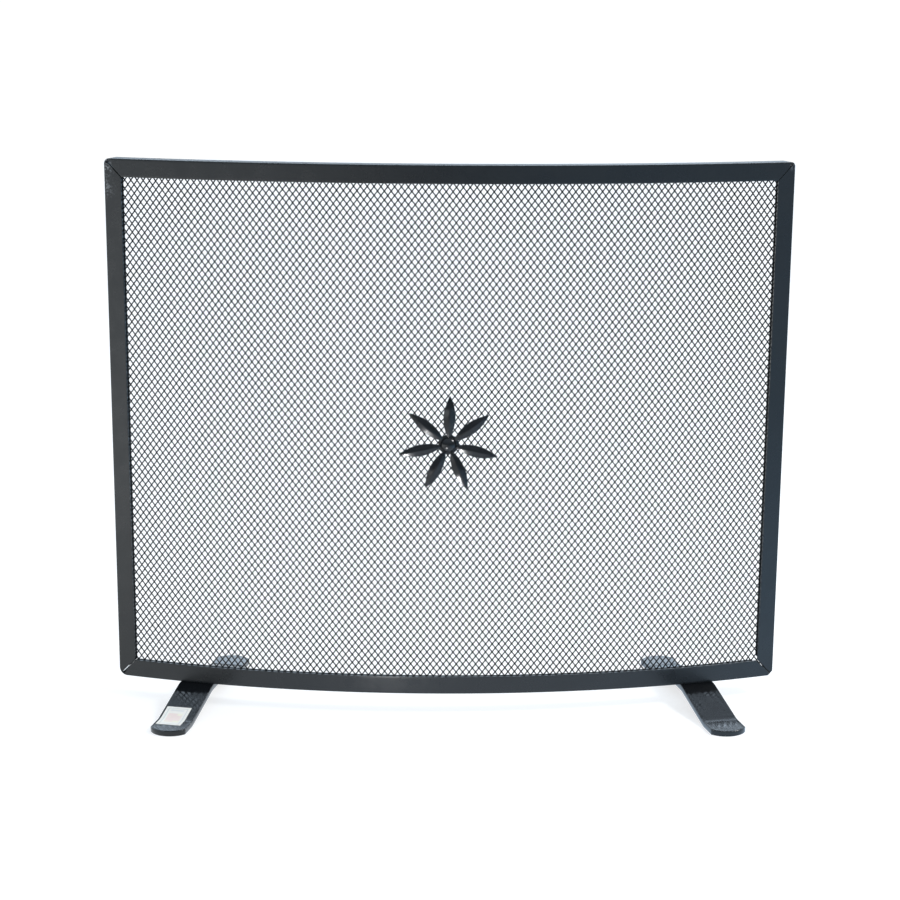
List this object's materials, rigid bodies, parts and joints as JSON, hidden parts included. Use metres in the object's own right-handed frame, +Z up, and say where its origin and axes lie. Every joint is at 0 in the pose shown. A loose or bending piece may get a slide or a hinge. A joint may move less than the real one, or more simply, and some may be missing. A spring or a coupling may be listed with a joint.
{
  "type": "fireplace screen",
  "caption": "Bowed free-standing fireplace screen: a mitred steel-angle frame with woven wire spark mesh, a small metal flower in the middle and flat bar feet.",
  "frame": {"origin": "on the floor, midway between the feet's front and back tips and between the two ends of the frame", "axes": "+X to the right seen from the room, +Y towards the fire, +Z up"},
  "size_m": [0.9648, 0.3256, 0.7855],
  "materials": {
    "frame_paint": "semi-gloss charcoal",
    "strip_paint": "satin charcoal",
    "foot_paint": "semi-gloss charcoal",
    "flower_paint": "gloss charcoal",
    "mesh_wire": "satin dark grey",
    "fastener_steel": "zinc plated",
    "label_paper": "matt white sticker"
  },
  "bodies": {
    "root": {"top_rail": "frame_paint", "bottom_rail": "frame_paint", "left_stile": "frame_paint", "right_stile": "frame_paint", "corner_welds": "frame_paint", "mesh_panel": "mesh_wire", "top_mesh_strip": "strip_paint", "bottom_mesh_strip": "strip_paint", "left_mesh_strip": "strip_paint", "right_mesh_strip": "strip_paint", "mesh_strip_screws": "fastener_steel", "petal_1": "flower_paint", "petal_2": "flower_paint", "petal_3": "flower_paint", "petal_4": "flower_paint", "petal_5": "flower_paint", "petal_6": "flower_paint", "petal_7": "flower_paint", "flower_hub": "flower_paint", "flower_bolt": "flower_paint", "flower_washer": "fastener_steel", "flower_nut": "fastener_steel", "left_foot": "foot_paint", "right_foot": "foot_paint", "foot_bolts": "fastener_steel", "foot_nuts": "fastener_steel", "foot_label": "label_paper"}
  },
  "joints": []
}
